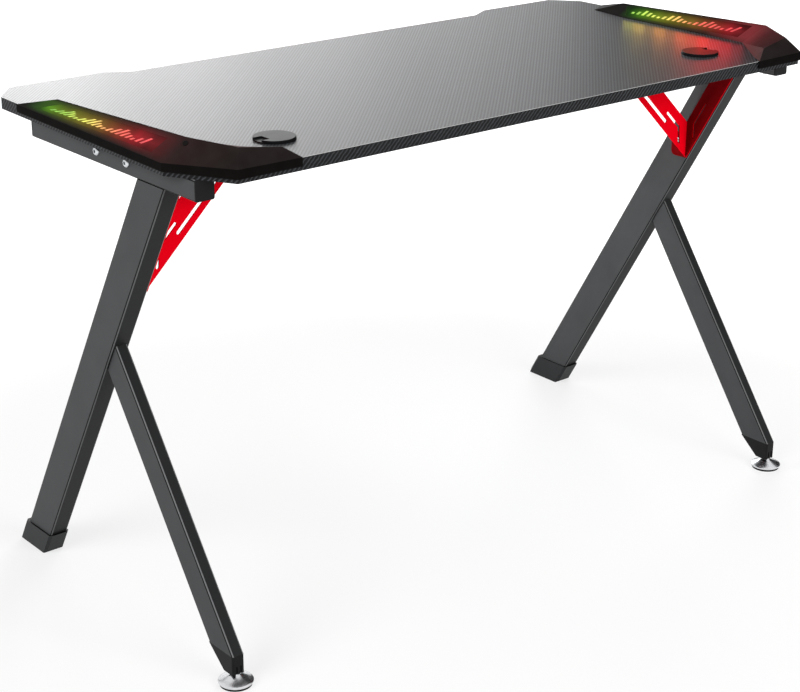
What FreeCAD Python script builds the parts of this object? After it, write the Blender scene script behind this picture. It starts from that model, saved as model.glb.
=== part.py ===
import FreeCAD, Part
import math
import os

# Gaming desk: a carbon-look board on two slanted steel side frames, with faceted light covers on its ends.
# Frame: +Z up, origin on the floor under the board's centre, front at -Y, right end at +X. Millimetres.

Vec = FreeCAD.Vector
os.makedirs("parts", exist_ok=True)

# Board sizes
desk_length = 1200.0
desk_depth = 593.0
desk_height = 753.0
board_thickness = 18.0
film_thickness = 0.5
band_thickness = 1.0
front_corner_x = 38.0
front_corner_y = 45.5
rear_corner_x = 44.0
rear_corner_y = 92.5
end_flare = 10.0
recess_depth = 24.0
recess_outer_half = 400.0
recess_inner_half = 358.5

# Cable grommet sizes
grommet_from_end = 173.0
grommet_from_rear = 98.5
grommet_flange_dia = 60.0
grommet_hole_dia = 50.0
grommet_wall = 2.3
flange_thickness = 2.0
lid_thickness = 2.4
lid_inset = 0.3
lid_edge_radius = 0.8
lid_pin_dia = 8.0
lid_pin_depth = 7.0
lid_clearance = 0.1
lid_pin_clearance = 0.05
notch_half_width = 9.5
notch_offset = 15.0

# Steel frame sizes
tube_wall = 1.5
tube_corner = 3.0
rail_size = 30.0
rail_from_end = 10.0
rail_front_inset = 115.0
rail_rear_inset = 48.5
plug_flange = 2.0
plug_depth = 14.0
plug_clearance = 0.15
long_leg_width = 60.0
long_leg_thickness = 30.0
long_leg_reach = 9.5
long_leg_top_from_rear = 193.0
short_leg_width = 48.0
short_leg_thickness = 20.0
short_leg_from_rear = 5.5
short_leg_end_height = 48.0
leg_meeting_share = 0.6156
cap_wall = 3.0
cap_nose = 4.5
cap_height = 40.0
cap_floor = 4.0
cap_edge_chamfer = 4.0

# Levelling foot sizes
foot_from_leg_rear = 8.0
foot_plug_bottom = 18.0
foot_plug_toe = 23.0
foot_dish_dia = 52.0
foot_pad_dia = 47.0
foot_pad_height = 3.0
foot_hub_dia = 13.0
foot_rim_step = 1.2
foot_neck_step = 1.4
foot_cone = (5.6, 15.2, 16.6)
foot_groove_width = 3.2
foot_groove_depth = 1.6
foot_groove_height = 13.0
foot_groove_offset = 3.5
stud_dia = 8.0
stud_top = 44.0
stud_room = 4.0
stud_side_room = 0.4
insert_dia = 11.0
insert_length = 15.0
thread_clearance = 0.05

# Cross beam and brace sizes
beam_depth = 40.0
beam_plate_thickness = 4.0
beam_plate_margin = 12.0
beam_bolt_spacing = 78.5
beam_bolt_drop = 30.0
bolt_dia = 8.0
bolt_head_dia = 13.0
bolt_head_height = 4.5
nut_width = 13.0
nut_height = 6.5
bolt_end = 1.5
brace_sheet = 2.0
brace_width = 45.0
brace_slope = 44.3
brace_foot_share = 0.7468
brace_top_share = 0.9787
brace_from_leg_rear = 6.2
brace_edge_margin = 2.5
brace_tab_length = 31.0
brace_tab_height = 44.0
brace_tab_radius = 9.0
long_slit_width = 6.0
long_slit_height = 13.3
long_slit_start = 94.0
long_slit_from_top = 67.0
short_slit_width = 5.0
short_slit_height = 26.7
short_slit_start = 58.5
short_slit_end = 100.0
short_slit_foot = (20.8, 31.0)
leg_slit_width = 3.0
leg_slit_offset = 18.0
leg_slit_foot = 40.0
leg_slit_bend = 64.0
leg_slit_top = (24.0, 105.0)
brace_screw_dia = 5.0
brace_screw_head = 9.0
brace_screw_head_height = 3.0
brace_screw_length = 12.0
tab_screw_offset = (13.2, 30.2)
beam_screw_offsets = (17.0, 47.0)
brace_top_gap = 1.0
screw_clearance = 0.3
hole_clearance = 0.1
rail_screw_dia = 6.0
rail_screw_head = 11.0
rail_screw_head_height = 3.5
rail_screw_grip = 12.0
rail_screw_end = 1.0
rail_screw_front = 31.5
rail_screw_middle = 151.5
rail_screw_rear = 33.0

# End cover sizes; heights are above the board's top, distances from the board's end and rear edge
skirt_thickness = 3.0
skirt_gap = 0.3
skirt_depth = 11.5
tip_from_rear = 493.5
ridge_front = (22.0, 416.5, 17.7)
ridge_rear = (25.0, 86.5, 29.6)
ridge_corner = (58.5, 17.5, 24.6)
ridge_inner = (121.5, 9.5, 16.5)
inner_tip = (42.2, 469.1)
inner_front = (54.0, 387.5)
inner_rear = (51.5, 113.5)
wing_front = (127.0, 22.5)
wing_tip_from_end = 145.0
side_rear_height = 0.4
rear_corner_height = 2.0
wing_tip_height = 0.8
hollow_outside = ((6.0, 462.0), (-4.0, 102.0), (48.0, 5.0), (133.0, 5.0))
hollow_inside = ((119.5, 17.5), (43.5, 112.5), (48.0, 388.5), (38.0, 455.0))
hollow_ridge_corners = ((22.0, 412.5, 13.7), (25.5, 90.5, 25.2), (59.0, 21.5, 20.6), (119.5, 12.5, 12.5))
window_gap = 0.15
outer_window = (0.10, 0.905, 0.20, 0.79)
inner_window = (0.03, 0.93, 0.20, 0.86)
window_reach = 7.0
boss_radius = 3.2
cover_screw_dia = 3.5
cover_screw_head = 7.6
cover_screw_head_height = 3.0
cover_screw_reach = 8.0
cover_screw_end = 0.5
cover_screw_inset = 22.5
cover_screw_front = 356.5
cover_screw_middle = 176.5
wing_screw = (70.0, 34.5)
strip_from_end = 34.0
strip_front_from_rear = 391.5
strip_rear_from_rear = 116.5
strip_width = 8.0
strip_thickness = 1.6
chip_size = 5.0
chip_height = 1.6
chip_pitch = 20.0

# Light button sizes
button_dia = 8.0
button_proud = 1.2
button_depth = 8.0
button_travel = 1.0
button_clearance = 0.05
button_edge_radius = 0.6
button_guide = 7.5
button_place = (0.075, 0.78)
switch_dia = 7.0
switch_length = 5.0
switch_gap = 1.2
post_dia = 5.0

# Derived positions
end_x = desk_length / 2
rear_y = desk_depth / 2
front_y = -desk_depth / 2
top_z = desk_height
under_z = desk_height - board_thickness
rail_outer_x = end_x - rail_from_end
rail_inner_x = rail_outer_x - rail_size
rail_bottom = under_z - rail_size
leg_inner_x = rail_outer_x - long_leg_thickness
leg_mid_x = rail_outer_x - long_leg_thickness / 2
rail_front = front_y + rail_front_inset
rail_rear = rear_y - rail_rear_inset
long_leg_floor_front = front_y - long_leg_reach
long_leg_top_front = rear_y - long_leg_top_from_rear
long_leg_tilt = math.atan((long_leg_top_front - long_leg_floor_front) / rail_bottom)
long_leg_span = long_leg_width / math.cos(long_leg_tilt)
long_leg_floor_rear = long_leg_floor_front + long_leg_span
lean = math.tan(long_leg_tilt)
leg_meeting_height = rail_bottom * leg_meeting_share
meeting_y = long_leg_floor_rear + lean * leg_meeting_height
short_leg_rear = rear_y - short_leg_from_rear
short_leg_run = (short_leg_rear - meeting_y) / (leg_meeting_height - short_leg_end_height)
short_leg_tilt = math.atan(short_leg_run)
short_leg_span = short_leg_width / math.cos(short_leg_tilt)
foot_y = short_leg_rear - foot_from_leg_rear
brace_foot_height = rail_bottom * brace_foot_share
brace_top_height = rail_bottom * brace_top_share
beam_rear = long_leg_floor_rear + lean * brace_foot_height - brace_from_leg_rear
beam_front = beam_rear - beam_depth
beam_centre_y = (beam_front + beam_rear) / 2
well_clear = 2 * (desk_length + desk_depth + desk_height)


def save(name, shape):
    shape.exportStep("parts/" + name + ".step")


def mirrored(shape):
    return shape.mirror(Vec(0, 0, 0), Vec(1, 0, 0))


def save_pair(name, shape):
    """Writes the right piece and its mirror image on the left."""
    save("right_" + name, shape)
    save("left_" + name, mirrored(shape))


def box(x0, x1, y0, y1, z0, z1):
    return Part.makeBox(x1 - x0, y1 - y0, z1 - z0, Vec(x0, y0, z0))


def rod(radius, start, end):
    run = end - start
    return Part.makeCylinder(radius, run.Length, start, run)


def upright(radius, x, y, low, high):
    return rod(radius, Vec(x, y, low), Vec(x, y, high))


def crosswise(radius, y, z, x0, x1):
    return rod(radius, Vec(x0, y, z), Vec(x1, y, z))


def prism(points, direction):
    return Part.Face(Part.makePolygon(list(points) + [points[0]])).extrude(direction)


def slab(outline, low, high):
    """Upright prism on a plan outline between two heights."""
    return prism([Vec(p.x, p.y, low) for p in outline], Vec(0, 0, high - low))


def side_plate(points, x0, x1):
    """Prism of a side-view outline of (y, z) points between two x values."""
    return prism([Vec(x0, y, z) for y, z in points], Vec(x1 - x0, 0, 0))


def rear_plate(points, y0, y1):
    """Prism of a rear-view outline of (x, z) points between two y values."""
    return prism([Vec(x, y0, z) for x, z in points], Vec(0, y1 - y0, 0))


def offset_outline(points, distance):
    """Moves each side of an anticlockwise plan outline outward."""
    moved = []
    for i in range(len(points)):
        here = points[i]
        into = (here - points[i - 1]).normalize()
        away = (points[(i + 1) % len(points)] - here).normalize()
        n0 = Vec(into.y, -into.x, 0)
        n1 = Vec(away.y, -away.x, 0)
        moved.append(here + (n0 + n1) * (distance / (1 + n0.dot(n1))))
    return moved


def bar(width, thickness, length, corner):
    """Solid bar along Z with rounded long edges, centred on the axis; width is along Y."""
    body = Part.makeBox(thickness, width, length, Vec(-thickness / 2, -width / 2, 0))
    if corner <= 0:
        return body
    long_edges = [e for e in body.Edges if abs(e.Vertexes[0].Z - e.Vertexes[-1].Z) > length / 2]
    return body.makeFillet(corner, long_edges)


def placed_bar(width, thickness, corner, x, y, z, tilt, below, above):
    """Bar through a point, tilted in the side view; positive tilt leans its top to the rear."""
    body = bar(width, thickness, below + above, corner)
    body.translate(Vec(0, 0, -below))
    body.rotate(Vec(0, 0, 0), Vec(1, 0, 0), -math.degrees(tilt))
    body.translate(Vec(x, y, z))
    return body


def pan_screw(start, direction, diameter, length, head_diameter, head_height):
    """Screw whose head's underside is at start and whose shank runs along direction."""
    shank = Part.makeCylinder(diameter / 2, length, start, direction)
    head = Part.makeCylinder(head_diameter / 2, head_height, start, direction * -1)
    rim = [e for e in head.Edges if e.Closed and (e.CenterOfMass - start).Length > head_height / 2]
    return head.makeFillet(head_height * 0.45, rim).fuse(shank).removeSplitter()


def slot_path(points, width, y0, y1):
    """Round-ended slot along (x, z) points, cut through a sheet lying in the rear view."""
    pieces = []
    for (xa, za), (xb, zb) in zip(points[:-1], points[1:]):
        run = math.hypot(xb - xa, zb - za)
        sx = -(zb - za) / run * width / 2
        sz = (xb - xa) / run * width / 2
        loop = [(xa + sx, za + sz), (xb + sx, zb + sz), (xb - sx, zb - sz), (xa - sx, za - sz)]
        pieces.append(rear_plate(loop, y0, y1))
    for x, z in points:
        pieces.append(rod(width / 2, Vec(x, y0, z), Vec(x, y1, z)))
    return pieces[0].multiFuse(pieces[1:]).removeSplitter()


# Board, whose ends flare outwards from the front corners to the rear ones
flare_x = end_x + end_flare
board_outline = [
    Vec(-end_x + front_corner_x, front_y, 0), Vec(-recess_outer_half, front_y, 0),
    Vec(-recess_inner_half, front_y + recess_depth, 0), Vec(recess_inner_half, front_y + recess_depth, 0),
    Vec(recess_outer_half, front_y, 0), Vec(end_x - front_corner_x, front_y, 0),
    Vec(end_x, front_y + front_corner_y, 0), Vec(flare_x, rear_y - rear_corner_y, 0),
    Vec(end_x - rear_corner_x, rear_y, 0), Vec(-end_x + rear_corner_x, rear_y, 0),
    Vec(-flare_x, rear_y - rear_corner_y, 0), Vec(-end_x, front_y + front_corner_y, 0)]
film_z = top_z - film_thickness
grommet_centre = Vec(end_x - grommet_from_end, rear_y - grommet_from_rear, 0)
rail_screw_places = [rail_front + rail_screw_front, rail_front + rail_screw_middle,
                     rail_rear - rail_screw_rear]
cover_screw_places = [Vec(end_x - cover_screw_inset, rear_y - cover_screw_front, 0),
                      Vec(end_x - cover_screw_inset, rear_y - cover_screw_middle, 0),
                      Vec(end_x - wing_screw[0], rear_y - wing_screw[1], 0)]

core_outline = offset_outline(board_outline, -band_thickness)
core = slab(core_outline, under_z, film_z)
film = slab(board_outline, film_z, top_z)
band = slab(board_outline, under_z, film_z).cut(core)
for side in (1, -1):
    opening = upright(grommet_hole_dia / 2, side * grommet_centre.x, grommet_centre.y, under_z - 1, top_z + 1)
    core = core.cut(opening)
    film = film.cut(opening)
    for place in cover_screw_places:
        x = side * place.x
        drill = upright(cover_screw_dia / 2 + screw_clearance, x, place.y, under_z - 1, top_z + 1)
        seat_top = under_z + cover_screw_head_height
        seat = upright(cover_screw_head / 2 + hole_clearance, x, place.y, under_z - 1, seat_top)
        core = core.cut(drill).cut(seat)
        film = film.cut(drill)
    for y in rail_screw_places:
        pilot_top = under_z + rail_screw_grip
        pilot = upright(rail_screw_dia / 2 + hole_clearance, side * leg_mid_x, y, under_z - 1, pilot_top)
        core = core.cut(pilot)
save("desktop_core", core)
save("desktop_film", film)
save("desktop_edge_band", band)

# Cable grommets: a flanged sleeve whose web has one cable opening, and a notched lid that turns on a pin
# in the web; half a turn brings the notch over the opening
sleeve_outer = grommet_hole_dia / 2 - 0.2
sleeve_bore = sleeve_outer - grommet_wall
flange_top = top_z + flange_thickness
hole_x = grommet_centre.x
hole_y = grommet_centre.y
sleeve = upright(grommet_flange_dia / 2, hole_x, hole_y, top_z, flange_top)
sleeve = sleeve.fuse(upright(sleeve_outer, hole_x, hole_y, under_z - 3, top_z))
sleeve = sleeve.cut(upright(sleeve_bore, hole_x, hole_y, under_z - 4, top_z))
sleeve = sleeve.cut(upright(lid_pin_dia / 2 + lid_pin_clearance, hole_x, hole_y, under_z, flange_top + 1))
outlet = upright(sleeve_bore, hole_x, hole_y, under_z, flange_top + 1)
outlet = outlet.common(box(0, hole_x - notch_offset, hole_y - notch_half_width, hole_y + notch_half_width,
                           under_z, flange_top + 1))
save_pair("grommet_sleeve", sleeve.cut(outlet).removeSplitter())

lid_low = flange_top + lid_clearance
lid_radius = grommet_flange_dia / 2 - lid_inset
lid = upright(lid_radius, hole_x, hole_y, lid_low, lid_low + lid_thickness)
upper_rim = [e for e in lid.Edges if e.Closed and e.CenterOfMass.z > lid_low + lid_thickness / 2]
lid = lid.makeFillet(lid_edge_radius, upper_rim)
notch_x = hole_x + notch_offset
notch = box(notch_x, notch_x + grommet_flange_dia, hole_y - notch_half_width, hole_y + notch_half_width,
            under_z, top_z + board_thickness)
lid = lid.cut(notch).fuse(upright(lid_pin_dia / 2, hole_x, hole_y, lid_low - lid_pin_depth, lid_low))
save_pair("grommet_lid", lid.removeSplitter())

# Top rails with end plugs
rail_mid_z = (rail_bottom + under_z) / 2
rail_length = rail_rear - rail_front - 2 * plug_flange


def along_y(shape):
    """Turns a piece made along Z so that it runs to the rear from the origin."""
    shape.rotate(Vec(0, 0, 0), Vec(1, 0, 0), -90)
    return shape


bolt_z = top_z - beam_bolt_drop
bolt_places = [beam_centre_y - beam_bolt_spacing / 2, beam_centre_y + beam_bolt_spacing / 2]
rail_outside = along_y(bar(rail_size, rail_size, rail_length, tube_corner))
rail_bore = rail_size - 2 * tube_wall
rail_inside = along_y(bar(rail_bore, rail_bore, rail_length, tube_corner - tube_wall))
rail = rail_outside.cut(rail_inside)
rail.translate(Vec(leg_mid_x, rail_front + plug_flange, rail_mid_z))
for y in rail_screw_places:
    rail = rail.cut(upright(rail_screw_dia / 2 + screw_clearance, leg_mid_x, y, rail_bottom - 1, under_z + 1))
for y in bolt_places:
    rail = rail.cut(crosswise(bolt_dia / 2 + screw_clearance, y, bolt_z, rail_inner_x - 1, rail_outer_x + 1))
save_pair("top_rail", rail)

spigot_size = rail_bore - 2 * plug_clearance
plug = along_y(bar(rail_size, rail_size, plug_flange, tube_corner))
spigot = along_y(bar(spigot_size, spigot_size, plug_depth, tube_corner - tube_wall))
spigot.translate(Vec(0, plug_flange, 0))
front_plug = plug.fuse(spigot).removeSplitter()
rear_plug = front_plug.copy()
rear_plug.rotate(Vec(0, 0, 0), Vec(0, 0, 1), 180)
front_plug.translate(Vec(leg_mid_x, rail_front, rail_mid_z))
rear_plug.translate(Vec(leg_mid_x, rail_rear, rail_mid_z))
save_pair("rail_front_plug", front_plug)
save_pair("rail_rear_plug", rear_plug)

rail_screws = []
for y in rail_screw_places:
    start = Vec(leg_mid_x, y, rail_bottom)
    reach = rail_size + rail_screw_grip - rail_screw_end
    screw = pan_screw(start, Vec(0, 0, 1), rail_screw_dia, reach, rail_screw_head, rail_screw_head_height)
    rail_screws.append(screw)
save_pair("rail_screws", Part.makeCompound(rail_screws))

# Legs: the long leg runs from the rail's rear to the front foot, the short leg from its back to the rear foot
long_axis_y = long_leg_floor_front + long_leg_span / 2
long_outside = placed_bar(long_leg_width, long_leg_thickness, tube_corner, leg_mid_x, long_axis_y, 0,
                          long_leg_tilt, desk_height, 2 * desk_height)
long_inside = placed_bar(long_leg_width - 2 * tube_wall, long_leg_thickness - 2 * tube_wall,
                         tube_corner - tube_wall, leg_mid_x, long_axis_y, 0, long_leg_tilt,
                         desk_height, 2 * desk_height)
leg_room = box(0, well_clear, -well_clear, well_clear, cap_floor, rail_bottom)
long_leg = long_outside.cut(long_inside).common(leg_room)
tab_screw_y = beam_rear - tab_screw_offset[0]
tab_screw_z = brace_foot_height + tab_screw_offset[1]
long_leg = long_leg.cut(crosswise(brace_screw_dia / 2 + hole_clearance, tab_screw_y, tab_screw_z,
                                  leg_inner_x - 1, leg_inner_x + tube_wall + 2))
save_pair("long_leg", long_leg)

front_of_meeting = side_plate([
    (long_leg_floor_rear, 0), (long_leg_floor_rear + lean * well_clear, well_clear),
    (-well_clear, well_clear), (-well_clear, 0)], 0, well_clear)
short_axis_y = short_leg_rear - short_leg_span / 2
short_outside = placed_bar(short_leg_width, short_leg_thickness, tube_corner, leg_mid_x, short_axis_y,
                           short_leg_end_height, -short_leg_tilt, desk_height, desk_height)
short_inside = placed_bar(short_leg_width - 2 * tube_wall, short_leg_thickness - 2 * tube_wall,
                          tube_corner - tube_wall, leg_mid_x, short_axis_y, short_leg_end_height,
                          -short_leg_tilt, desk_height, desk_height)
above_end = box(0, well_clear, -well_clear, well_clear, short_leg_end_height, well_clear)
short_leg = short_outside.cut(short_inside).common(above_end).cut(front_of_meeting)
save_pair("short_leg", short_leg)

# Front foot caps: slip-over shoes on the long legs
cap_gap_y = cap_wall / math.cos(long_leg_tilt)
cap_rear = long_leg_floor_rear + cap_gap_y
cap_front = long_leg_floor_front - cap_gap_y - cap_nose
cap_toe = long_leg_floor_front - cap_wall
cap_side = [(cap_toe, 0), (long_leg_floor_rear, 0), (cap_rear + lean * 3, 3),
            (cap_rear + lean * cap_height, cap_height), (cap_front + lean * cap_height, cap_height),
            (cap_toe, (cap_toe - cap_front) / lean)]
cap = side_plate(cap_side, leg_inner_x - cap_wall + 0.2, rail_outer_x + cap_wall - 0.2)
cap_edges = [e for e in cap.Edges if abs(e.Vertexes[0].Z - e.Vertexes[-1].Z) > cap_height / 2]
cap = cap.makeChamfer(cap_edge_chamfer, cap_edges)
pocket = long_outside.common(leg_room)
save_pair("front_foot_cap", cap.cut(pocket))

# Rear foot plugs, grooved at the rear, with threaded inserts
plug_side = [(short_leg_rear, short_leg_end_height), (short_leg_rear, foot_plug_bottom),
             (short_leg_rear - foot_plug_toe, foot_plug_bottom),
             (short_leg_rear - short_leg_span, short_leg_end_height)]
foot_plug = side_plate(plug_side, leg_mid_x - short_leg_thickness / 2, leg_mid_x + short_leg_thickness / 2)
rear_edges = [e for e in foot_plug.Edges if abs(e.Vertexes[0].Z - e.Vertexes[-1].Z) > 10
              and e.CenterOfMass.y > short_leg_rear - 1]
foot_plug = foot_plug.makeFillet(tube_corner, rear_edges)
spigot_bar = placed_bar(short_leg_width - 2 * tube_wall - 2 * plug_clearance,
                        short_leg_thickness - 2 * tube_wall - 2 * plug_clearance, tube_corner - tube_wall,
                        leg_mid_x, short_axis_y, short_leg_end_height, -short_leg_tilt,
                        desk_height, desk_height)
spigot_room = box(0, well_clear, 0, well_clear, short_leg_end_height, short_leg_end_height + plug_depth)
foot_plug = foot_plug.fuse(spigot_bar.common(spigot_room)).removeSplitter()
foot_axis = Vec(leg_mid_x, foot_y, 0)
insert_low = foot_plug_bottom
insert_high = foot_plug_bottom + insert_length
bore_top = stud_top + stud_room
foot_plug = foot_plug.cut(rod(stud_dia / 2 + stud_side_room, foot_axis, foot_axis + Vec(0, 0, bore_top)))
foot_plug = foot_plug.cut(rod(insert_dia / 2, foot_axis, foot_axis + Vec(0, 0, insert_high)))
for offset in (-foot_groove_offset, foot_groove_offset):
    groove_x = leg_mid_x + offset
    foot_plug = foot_plug.cut(box(groove_x - foot_groove_width / 2, groove_x + foot_groove_width / 2,
                                  short_leg_rear - foot_groove_depth, short_leg_rear + 1,
                                  foot_plug_bottom - 1, foot_plug_bottom + foot_groove_height))
save_pair("rear_foot_plug", foot_plug)
insert = rod(insert_dia / 2, foot_axis + Vec(0, 0, insert_low), foot_axis + Vec(0, 0, insert_high))
insert = insert.cut(rod(stud_dia / 2 + thread_clearance, foot_axis, foot_axis + Vec(0, 0, insert_high + 1)))
save_pair("foot_insert", insert)

# Levelling feet: stud, cone-shaped dish whose hub stops under the plug when screwed right in, and floor pad
stud = rod(stud_dia / 2, foot_axis + Vec(0, 0, foot_pad_height), foot_axis + Vec(0, 0, stud_top))
save_pair("foot_stud", stud)
dish_r = foot_dish_dia / 2
hub_r = foot_hub_dia / 2
rim_top = foot_pad_height + 1.5
dish_loop = [(stud_dia / 2, foot_pad_height), (dish_r, foot_pad_height), (dish_r, rim_top),
             (dish_r - foot_rim_step, foot_cone[0]), (hub_r + foot_neck_step, foot_cone[1]),
             (hub_r, foot_cone[2]),
             (hub_r, foot_plug_bottom), (stud_dia / 2, foot_plug_bottom)]
dish_points = [Vec(leg_mid_x + r, foot_y, z) for r, z in dish_loop]
dish_face = Part.Face(Part.makePolygon(dish_points + [dish_points[0]]))
save_pair("foot_dish", dish_face.revolve(foot_axis, Vec(0, 0, 1), 360))
save_pair("foot_pad", rod(foot_pad_dia / 2, foot_axis, foot_axis + Vec(0, 0, foot_pad_height)))

# Cross beam under the board with end plates welded on
plate_inner_x = rail_inner_x - beam_plate_thickness
beam = box(-plate_inner_x, plate_inner_x, beam_front, beam_rear, rail_bottom, under_z)
beam = beam.cut(box(-plate_inner_x, plate_inner_x, beam_front + tube_wall, beam_rear - tube_wall,
                    rail_bottom + tube_wall, under_z - tube_wall))
plate_reach = beam_bolt_spacing / 2 + beam_plate_margin
plate = box(plate_inner_x, rail_inner_x, beam_centre_y - plate_reach, beam_centre_y + plate_reach,
            rail_bottom, under_z)
for y in bolt_places:
    plate = plate.cut(crosswise(bolt_dia / 2 + screw_clearance, y, bolt_z,
                                plate_inner_x - 1, rail_inner_x + 1))
save_pair("beam_plate", plate)
brace_lean = math.tan(math.radians(brace_slope))
brace_bolt_z = rail_mid_z
brace_low_x = leg_inner_x - (brace_bolt_z - brace_foot_height) / brace_lean
brace_bolt_places = [brace_low_x + offset for offset in beam_screw_offsets]
for side in (1, -1):
    for x in brace_bolt_places:
        start = Vec(side * x, beam_rear + 1, brace_bolt_z)
        beam = beam.cut(rod(brace_screw_dia / 2 + hole_clearance, start, start - Vec(0, tube_wall + 2, 0)))
save("cross_beam", beam.removeSplitter())

beam_bolts = []
beam_nuts = []
for y in bolt_places:
    start = Vec(rail_outer_x, y, bolt_z)
    reach = rail_size + beam_plate_thickness + nut_height + bolt_end
    beam_bolts.append(pan_screw(start, Vec(-1, 0, 0), bolt_dia, reach, bolt_head_dia, bolt_head_height))
    corners = []
    for i in range(6):
        angle = math.radians(60 * i + 30)
        radius = nut_width / math.sqrt(3)
        corners.append(Vec(plate_inner_x - nut_height, y + radius * math.cos(angle),
                           bolt_z + radius * math.sin(angle)))
    nut = prism(corners, Vec(nut_height, 0, 0))
    beam_nuts.append(nut.cut(rod(bolt_dia / 2 + hole_clearance, start, start - Vec(reach, 0, 0))))
save_pair("beam_bolts", Part.makeCompound(beam_bolts))
save_pair("beam_nuts", Part.makeCompound(beam_nuts))

# Braces: folded sheet with a slanted wing to the beam and a wing along the long leg
wing_y0 = beam_rear
wing_y1 = beam_rear + brace_sheet
slope = math.radians(brace_slope)
rise = brace_width / math.cos(slope)
wing_top = under_z - brace_top_gap
wing = rear_plate([
    (leg_inner_x, brace_foot_height), (leg_inner_x, brace_foot_height + rise),
    (leg_inner_x - (wing_top - brace_foot_height - rise) / brace_lean, wing_top),
    (leg_inner_x - (wing_top - brace_foot_height) / brace_lean, wing_top)], wing_y0, wing_y1)


def on_wing(along, across):
    """Rear-view point on the slanted wing, measured from its lower corner at the leg."""
    x = leg_inner_x - along * math.cos(slope) + across * math.sin(slope)
    return (x, brace_foot_height + along * math.sin(slope) + across * math.cos(slope))


long_slit_end = (wing_top - brace_foot_height) / math.sin(slope) - long_slit_from_top
long_slit = [on_wing(long_slit_start, long_slit_height), on_wing(long_slit_end, long_slit_height)]
short_slit = [on_wing(short_slit_end, short_slit_height), on_wing(short_slit_start, short_slit_height),
              (leg_inner_x - short_slit_foot[0], brace_foot_height + short_slit_foot[1])]
wing = wing.cut(slot_path(long_slit, long_slit_width, wing_y0 - 1, wing_y1 + 1))
wing = wing.cut(slot_path(short_slit, short_slit_width, wing_y0 - 1, wing_y1 + 1))
for x in brace_bolt_places:
    start = Vec(x, wing_y0 - 1, brace_bolt_z)
    wing = wing.cut(rod(brace_screw_dia / 2 + screw_clearance, start, start + Vec(0, brace_sheet + 2, 0)))


def strip_rear_at(z):
    """Rear edge of the wing on the leg, a little inside the leg's own rear edge."""
    return long_leg_floor_rear + lean * z - brace_edge_margin


fold_top = brace_foot_height + rise
leg_strip = side_plate([
    (wing_y0, brace_foot_height), (strip_rear_at(brace_foot_height), brace_foot_height),
    (strip_rear_at(brace_top_height), brace_top_height),
    (wing_y0 + lean * (brace_top_height - fold_top), brace_top_height), (wing_y0, fold_top)],
    leg_inner_x - brace_sheet, leg_inner_x)
groove_y = wing_y0 + leg_slit_offset
groove_points = [(groove_y, brace_foot_height + leg_slit_foot), (groove_y, brace_foot_height + leg_slit_bend),
                 (groove_y + leg_slit_top[0], brace_foot_height + leg_slit_top[1])]
for (ya, za), (yb, zb) in zip(groove_points[:-1], groove_points[1:]):
    run = math.hypot(yb - ya, zb - za)
    sy = -(zb - za) / run * leg_slit_width / 2
    sz = (yb - ya) / run * leg_slit_width / 2
    loop = [(ya + sy, za + sz), (yb + sy, zb + sz), (yb - sy, zb - sz), (ya - sy, za - sz)]
    leg_strip = leg_strip.cut(side_plate(loop, leg_inner_x - brace_sheet - 1, leg_inner_x + 1))
tab = box(leg_inner_x - brace_sheet, leg_inner_x, wing_y0 - brace_tab_length, wing_y0 + brace_sheet,
          brace_foot_height, brace_foot_height + brace_tab_height)
tab_edges = [e for e in tab.Edges if abs(e.Vertexes[0].X - e.Vertexes[-1].X) > brace_sheet / 2
             and e.CenterOfMass.y < wing_y0 - 1]
tab = tab.makeFillet(brace_tab_radius, tab_edges)
brace = wing.multiFuse([leg_strip, tab]).removeSplitter()
tab_seat = Vec(leg_inner_x - brace_sheet, tab_screw_y, tab_screw_z)
brace = brace.cut(rod(brace_screw_dia / 2 + screw_clearance, tab_seat - Vec(1, 0, 0),
                      tab_seat + Vec(brace_sheet + 1, 0, 0)))
save_pair("brace", brace)


def brace_screw(start, direction):
    return pan_screw(start, direction, brace_screw_dia, brace_screw_length,
                     brace_screw_head, brace_screw_head_height)


save_pair("brace_leg_screw", brace_screw(tab_seat, Vec(1, 0, 0)))
beam_screws = []
for x in brace_bolt_places:
    start = Vec(x, wing_y1, brace_bolt_z)
    beam_screws.append(brace_screw(start, Vec(0, -1, 0)))
save_pair("brace_beam_screws", Part.makeCompound(beam_screws))


# End covers: thin faceted shells whose ridge carries a light window on each slope
def from_corner(inset, from_rear, height):
    return Vec(end_x - inset, rear_y - from_rear, top_z + height)


def patch(corners):
    """Face on a loop of corners; four corners off one plane give a ruled face."""
    if len(corners) == 4:
        normal = (corners[1] - corners[0]).cross(corners[2] - corners[0])
        if abs((corners[3] - corners[0]).dot(normal)) > 0.001 * normal.Length:
            lower = Part.LineSegment(corners[0], corners[1]).toShape()
            upper = Part.LineSegment(corners[3], corners[2]).toShape()
            return Part.makeRuledSurface(lower, upper)
    return Part.Face(Part.makePolygon(list(corners) + [corners[0]]))


def roof_solid(base, ridge, low):
    """Closed solid of a faceted cover; the base corners run from the front tip round the outside and back."""
    tip, side, corner, wing_tip, wing_in, in_rear, in_front, in_tip = base
    first, peak, turn, last = ridge
    feet = [Vec(p.x, p.y, low) for p in base]
    faces = [patch(feet)]
    for i in range(len(base)):
        j = (i + 1) % len(base)
        faces.append(patch([feet[i], feet[j], base[j], base[i]]))
    faces.append(patch([tip, side, peak, first]))
    faces.append(patch([corner, side, peak, turn]))
    faces.append(patch([wing_tip, corner, turn, last]))
    faces.append(patch([wing_in, wing_tip, last]))
    faces.append(patch([in_rear, wing_in, last]))
    faces.append(patch([in_rear, last, turn, peak]))
    faces.append(patch([in_front, in_rear, peak, first]))
    faces.append(patch([in_tip, in_front, first]))
    faces.append(patch([tip, in_tip, first]))
    shell = Part.makeShell(faces)
    shell.sewShape()
    solid = Part.makeSolid(shell)
    if solid.Volume < 0:
        solid.reverse()
    return solid


def blend(a, b, share):
    return a + (b - a) * share


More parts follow.
